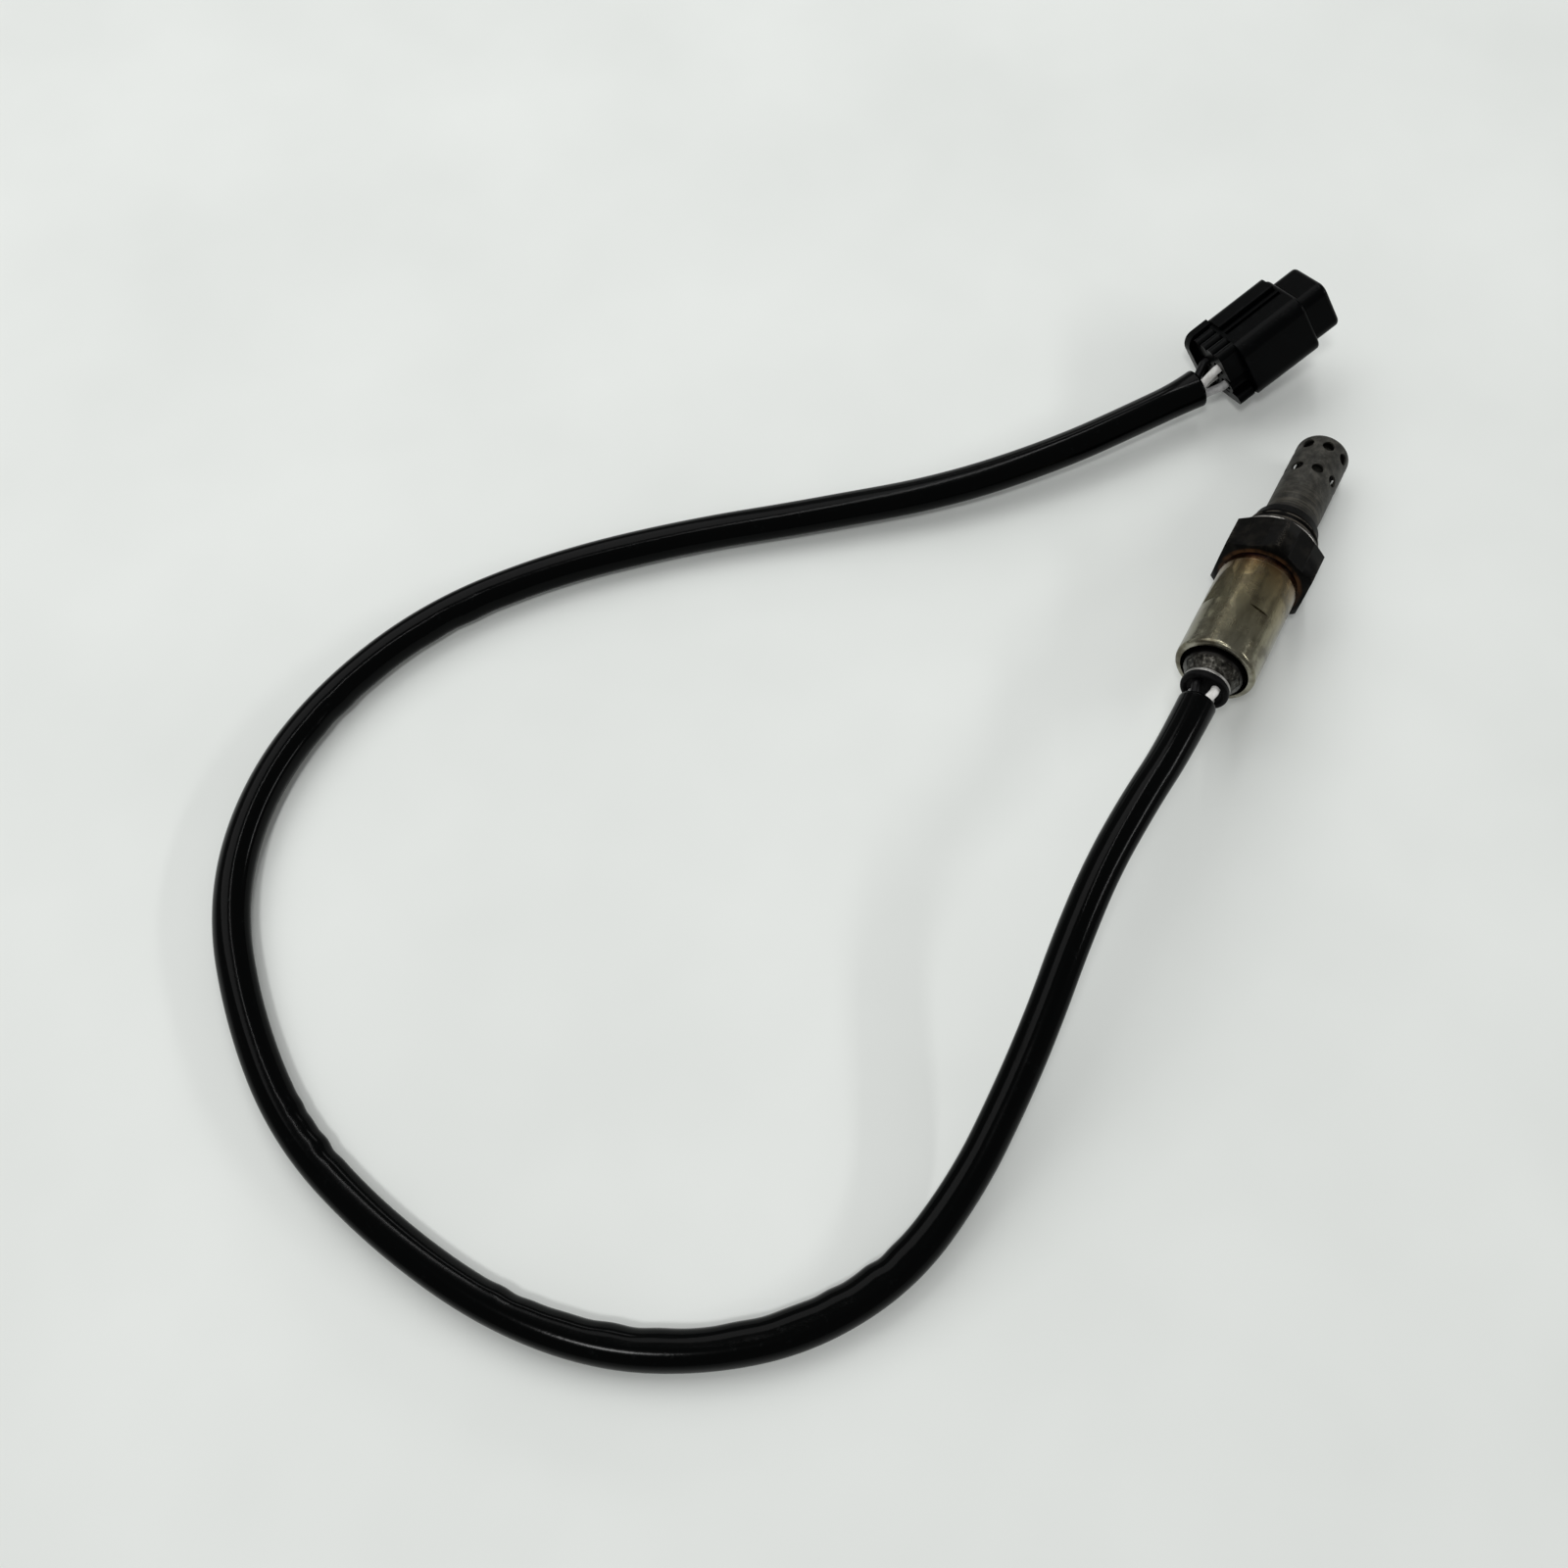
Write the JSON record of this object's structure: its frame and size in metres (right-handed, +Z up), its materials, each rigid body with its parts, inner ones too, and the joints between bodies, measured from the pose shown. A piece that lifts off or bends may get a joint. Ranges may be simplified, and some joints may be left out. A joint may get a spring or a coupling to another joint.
{
  "type": "oxygen sensor",
  "caption": "Heated exhaust oxygen sensor: threaded hexagonal housing with a perforated tip, crimped metal shell, and a sleeved lead that ends in a multi-way plug.",
  "frame": {"origin": "middle of the gasket's front face, on the sensor's axis, which seats on the exhaust boss", "axes": "+X towards the perforated tip (the sensor's axis dips 9.34 degrees below +X, because it lies on its hexagon and its tip), +Y to the left seen from behind the sensor, +Z up from the flat surface that everything lies on, which is at Z = -0.01213"},
  "size_m": [0.3145, 0.1965, 0.03],
  "materials": {
    "housing_steel": "heat-blackened plated steel, nearly matte",
    "gasket_steel": "folded sheet steel, worn bright at its edge",
    "tube_steel": "stainless sheet, sooted dark grey and matte",
    "shell_steel": "stainless sheet, satin, tinted straw and bronze by heat",
    "neck_steel": "stainless sheet, satin grey",
    "washer_metal": "plain sheet metal",
    "contact_metal": "spring strip",
    "terminal_metal": "tin-plated brass strip",
    "element_ceramic": "fired zirconia ceramic",
    "heater_ceramic": "fired alumina ceramic",
    "insulator_ceramic": "fired alumina ceramic",
    "talc": "pressed talc powder",
    "grommet_rubber": "matte black fluoro rubber",
    "tube_rubber": "glossy black sleeve",
    "lead_white": "satin off-white insulation",
    "lead_black": "satin black insulation",
    "lead_grey": "satin grey insulation",
    "plug_plastic": "satin black moulded plastic",
    "lock_plastic": "dark grey moulded plastic",
    "seal_rubber": "dark silicone rubber"
  },
  "bodies": {
    "root": {"hex_housing": "housing_steel", "seat_gasket": "gasket_steel", "outer_protection_tube": "tube_steel", "inner_protection_tube": "tube_steel", "sensing_element": "element_ceramic", "heater_rod": "heater_ceramic", "sealing_washer": "washer_metal", "talc_ring": "talc", "ceramic_ring": "insulator_ceramic", "crimp_ring": "washer_metal", "ground_contact": "contact_metal", "signal_contact": "contact_metal", "heater_contact_1": "contact_metal", "heater_contact_2": "contact_metal", "rear_insulator": "insulator_ceramic", "outer_shell": "shell_steel", "neck_sleeve": "neck_steel", "lead_grommet": "grommet_rubber", "protective_tube": "tube_rubber", "lead_white_1": "lead_white", "lead_black": "lead_black", "lead_white_2": "lead_white", "lead_grey": "lead_grey", "plug_housing": "plug_plastic", "terminal_lock": "lock_plastic", "plug_terminals": "terminal_metal", "wire_seals": "seal_rubber"}
  },
  "joints": []
}
